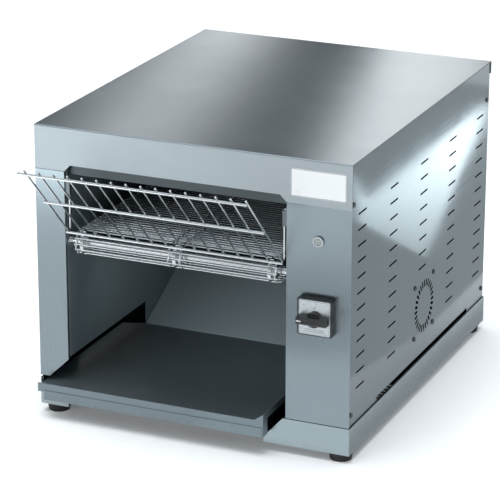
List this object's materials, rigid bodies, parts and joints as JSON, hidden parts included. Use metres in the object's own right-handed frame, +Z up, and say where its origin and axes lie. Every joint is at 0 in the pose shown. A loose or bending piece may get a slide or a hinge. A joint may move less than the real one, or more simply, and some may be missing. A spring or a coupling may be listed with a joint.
{
  "type": "conveyor toaster",
  "caption": "Countertop conveyor toaster: sheet-steel casing, inclined wire loading rack, wire belt between heater tubes, rear guide and slide to a front collecting tray, cam switch and lamp.",
  "frame": {"origin": "middle of the whole object's footprint, on the surface that the feet stand on", "axes": "+Z up, the front with the loading rack and tray faces -Y, +X to the right seen from the front"},
  "size_m": [0.501, 0.7518, 0.453],
  "materials": {
    "casing_steel": "satin brushed",
    "inner_steel": "dull inner sheet",
    "galvanised_steel": "dull zinc coated",
    "slide_steel": "dark heat-tinted coating",
    "chrome_wire": "polished",
    "belt_steel": "bright drawn wire",
    "wheel_steel": "machined",
    "bush_steel": "hardened and ground",
    "chain_steel": "oiled",
    "quartz": "satin quartz",
    "coil_wire": "oxidised resistance wire",
    "steatite": "matte",
    "insulation": "mineral fibre board",
    "foot_rubber": "matte",
    "black_plastic": "moulded",
    "knob_plastic": "gloss",
    "plate_silver": "satin",
    "chrome_trim": "polished",
    "lens": "clear moulded lens",
    "label_film": "blank printed film",
    "grey_plastic": "moulded",
    "gearbox_zinc": "die cast",
    "motor_paint": "satin enamel",
    "screw_steel": "plated"
  },
  "bodies": {
    "chassis": {"base_pan": "casing_steel", "feet": "foot_rubber", "top_cover": "casing_steel", "left_column": "casing_steel", "control_panel": "casing_steel", "left_side_panel": "casing_steel", "right_side_panel": "casing_steel", "rear_panel": "casing_steel", "panel_screws": "screw_steel", "left_chamber_wall": "inner_steel", "right_chamber_wall": "inner_steel", "upper_reflector": "galvanised_steel", "insulation_board": "insulation", "lower_reflector": "galvanised_steel", "heater_tubes": "quartz", "heater_coils": "coil_wire", "heater_caps": "steatite", "belt_bed": "wheel_steel", "rear_guide": "inner_steel", "toast_slide": "slide_steel", "tray_runners": "galvanised_steel", "shaft_bushes": "bush_steel", "conveyor_belt": "belt_steel", "drive_chain": "chain_steel", "motor_bracket": "galvanised_steel", "gearbox": "gearbox_zinc", "motor_can": "motor_paint", "fan_frame": "black_plastic", "fan_screws": "screw_steel", "switch_contacts": "grey_plastic", "switch_block": "black_plastic", "switch_plate": "plate_silver", "lamp_bezel": "chrome_trim", "lamp_lens": "lens", "label_plate": "label_film", "cable_gland": "black_plastic", "gland_nut": "black_plastic", "terminal_block": "grey_plastic", "rack_clips": "inner_steel"},
    "drive_train": {"drive_shaft": "wheel_steel", "drive_wheels": "wheel_steel", "driven_sprocket": "wheel_steel"},
    "idler": {"idler_shaft": "wheel_steel", "idler_wheels": "wheel_steel"},
    "motor_output": {"motor_sprocket": "wheel_steel"},
    "fan": {"fan_rotor": "black_plastic"},
    "switch": {"switch_knob": "knob_plastic"},
    "tray": {"collecting_tray": "casing_steel"},
    "rack": {"rack_wires": "chrome_wire", "rack_rails": "chrome_wire", "rack_legs": "chrome_wire"}
  },
  "joints": [
    {"name": "drive_shaft_spin", "type": "hinge", "parent": "chassis", "child": "drive_train", "pos_m": [0, 0.25964, 0.276], "axis": [1, 0, 0], "continuous": true, "deforming": ["conveyor_belt", "drive_chain"]},
    {"name": "idler_shaft_spin", "type": "hinge", "parent": "chassis", "child": "idler", "pos_m": [0, -0.22636, 0.276], "axis": [1, 0, 0], "continuous": true},
    {"name": "motor_output_spin", "type": "hinge", "parent": "chassis", "child": "motor_output", "pos_m": [0, 0.25964, 0.14424], "axis": [1, 0, 0], "continuous": true},
    {"name": "fan_spin", "type": "hinge", "parent": "chassis", "child": "fan", "pos_m": [0, 0.06864, 0.138], "axis": [1, 0, 0], "continuous": true},
    {"name": "switch_turn", "type": "hinge", "parent": "chassis", "child": "switch", "pos_m": [0.199, -0.24436, 0.221], "axis": [0, 1, 0], "range_deg": [0, 90]},
    {"name": "tray_slide", "type": "slide", "parent": "chassis", "child": "tray", "axis": [0, -1, 0], "range_m": [0, 0.24]},
    {"name": "rack_lift", "type": "slide", "parent": "chassis", "child": "rack", "axis": [0, 0, 1], "range_m": [0, 0.016]}
  ],
  "couplings": [
    {"joint": "idler_shaft_spin", "follows": "drive_shaft_spin", "ratio": 1},
    {"joint": "motor_output_spin", "follows": "drive_shaft_spin", "ratio": 1.5}
  ]
}
